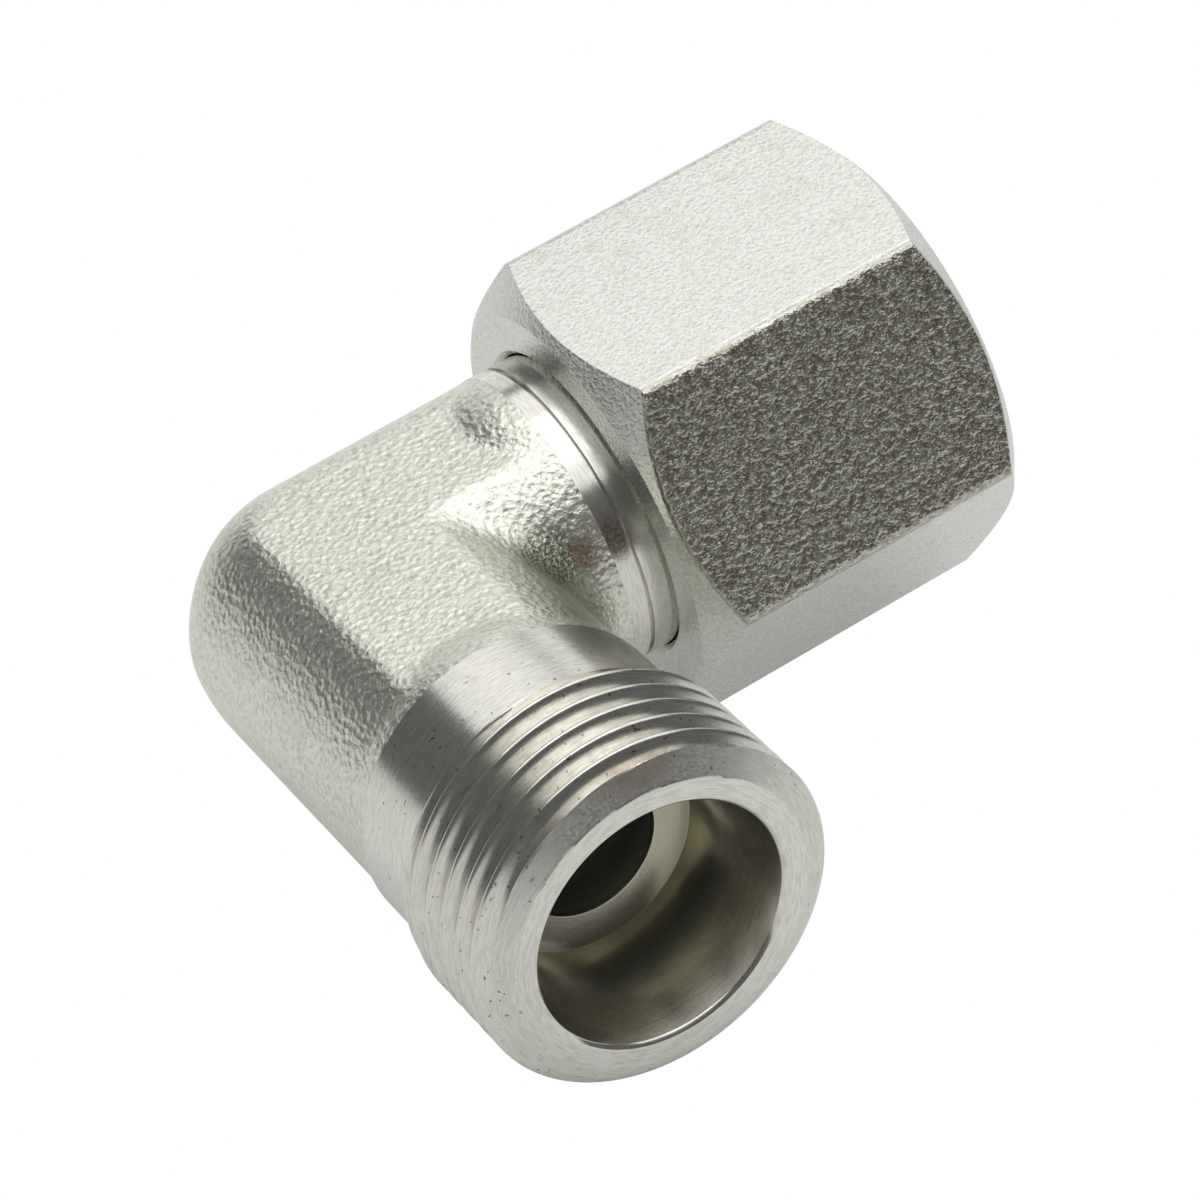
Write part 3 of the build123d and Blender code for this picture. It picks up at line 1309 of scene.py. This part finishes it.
@dataclass
class Studio:
    """Camera, floor, world and lights.

    Args:
        camera_place: where the camera stands, in millimetres.
        camera_right: its right-hand direction.
        camera_up: its up direction.
        camera_back: direction from the subject to the camera.
        view_angle: its horizontal view in degrees.
        floor_level: height of the floor in millimetres.
        floor_size: half of the floor's side in metres.
        floor_gloss: how far reflections see the floor as white.
        room_grey: brightness of the room round the lights.
        panels: the lights.
    """

    camera_place: Point = (-106.20791, -181.53, 163.27611)
    camera_right: Point = (0.85906, -0.51108, -0.02864)
    camera_up: Point = (0.30886, 0.47292, 0.8252)
    camera_back: Point = (-0.4082, -0.71774, 0.56412)
    view_angle: float = 12.734
    floor_level: float = -10.03
    floor_size: float = 3.0
    floor_gloss: float = 0.3
    room_grey: float = 0.1
    panels: tuple[Panel, ...] = (
        Panel("overhead_light", (145, 130, 520), (145, 129, 0), (890, 1060), 3.35),
        Panel("top_light", (45, 25, 510), (45, 24, 0), (360, 360), 0.3),
        Panel("back_light", (275, 505, 150), (0, 31, 20), (900, 340), 0.8),
    )

    def camera(self) -> None:
        """Adds the camera at the photo's place."""
        data = bpy.data.cameras.new("camera")
        data.sensor_fit = "HORIZONTAL"
        data.angle = math.radians(self.view_angle)
        data.clip_start = 0.01
        data.clip_end = 20
        eye = link("camera", data)
        axes = Matrix((self.camera_right, self.camera_up, self.camera_back))
        place = Matrix.Translation(Vector(self.camera_place) * MM)
        eye.matrix_world = place @ axes.transposed().to_4x4()
        bpy.context.scene.camera = eye

    def floor(self) -> None:
        """Adds the pale floor, white to the camera and in reflections."""
        bm = bmesh.new()
        bmesh.ops.create_grid(bm, x_segments=1, y_segments=1, size=self.floor_size)
        bmesh.ops.translate(bm, verts=bm.verts, vec=(0, 0, self.floor_level * MM))
        tree = Tree("floor_white")
        camera_ray = tree.add("ShaderNodeLightPath", {}, {}, output="Is Camera Ray")
        glossy_ray = Signal(tree, camera_ray.socket.node.outputs["Is Glossy Ray"])
        white = tree.add("ShaderNodeEmission", {}, {"Color": (1, 1, 1, 1), "Strength": 1.0})
        matt = tree.add("ShaderNodeBsdfDiffuse", {}, {"Color": (0.9, 0.9, 0.9, 1)})
        factor = camera_ray.larger(glossy_ray * self.floor_gloss)
        mixed = tree.add("ShaderNodeMixShader", {}, {0: factor, 1: matt, 2: white})
        tree.close(mixed)
        floor = link_mesh("floor", bm)
        floor.data.materials.append(tree.material)

    def world(self) -> None:
        """Sets the room: white to the camera, a dim grey to everything else."""
        world = bpy.data.worlds.new("room")
        bpy.context.scene.world = world
        world.use_nodes = True
        nodes, links = world.node_tree.nodes, world.node_tree.links
        nodes.clear()
        path = nodes.new("ShaderNodeLightPath")
        dim = nodes.new("ShaderNodeBackground")
        dim.inputs[0].default_value = (*[self.room_grey] * 3, 1)
        white = nodes.new("ShaderNodeBackground")
        white.inputs[0].default_value = (1, 1, 1, 1)
        mix = nodes.new("ShaderNodeMixShader")
        out = nodes.new("ShaderNodeOutputWorld")
        links.new(path.outputs["Is Camera Ray"], mix.inputs[0])
        links.new(dim.outputs[0], mix.inputs[1])
        links.new(white.outputs[0], mix.inputs[2])
        links.new(mix.outputs[0], out.inputs[0])

    def build(self) -> None:
        """Sets up the whole studio."""
        self.camera()
        self.floor()
        self.world()
        for panel in self.panels:
            panel.build()
        bpy.context.scene.view_settings.view_transform = "Standard"


def main() -> None:
    """Builds the studio and every piece."""
    logging.basicConfig(level=logging.INFO, format="%(name)s: %(message)s")
    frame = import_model()
    nodes = frame["nodes"]
    Studio().build()
    stud = StudEnd().build(TurnedZinc("turned_stud", TurningAxis.STUD).material())
    swivel_zinc = TurnedZinc("turned_shank", TurningAxis.SWIVEL).material()
    shank = ShankAndNose().build(swivel_zinc)
    bend = ForgedBend().build(nodes["elbow_body"], ForgedZinc().material())
    for piece in (stud, shank, bend):
        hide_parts("elbow_body")
    seal = SealRing().build(SealRubber().material())
    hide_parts("o_ring")
    nut = Nut().build(DrawnHexagon().material())
    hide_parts("swivel_nut")
    wire = nodes["lock_wire"]
    wire.data.materials.clear()
    wire.data.materials.append(SpringWire().material())


if __name__ == "__main__":
    main()
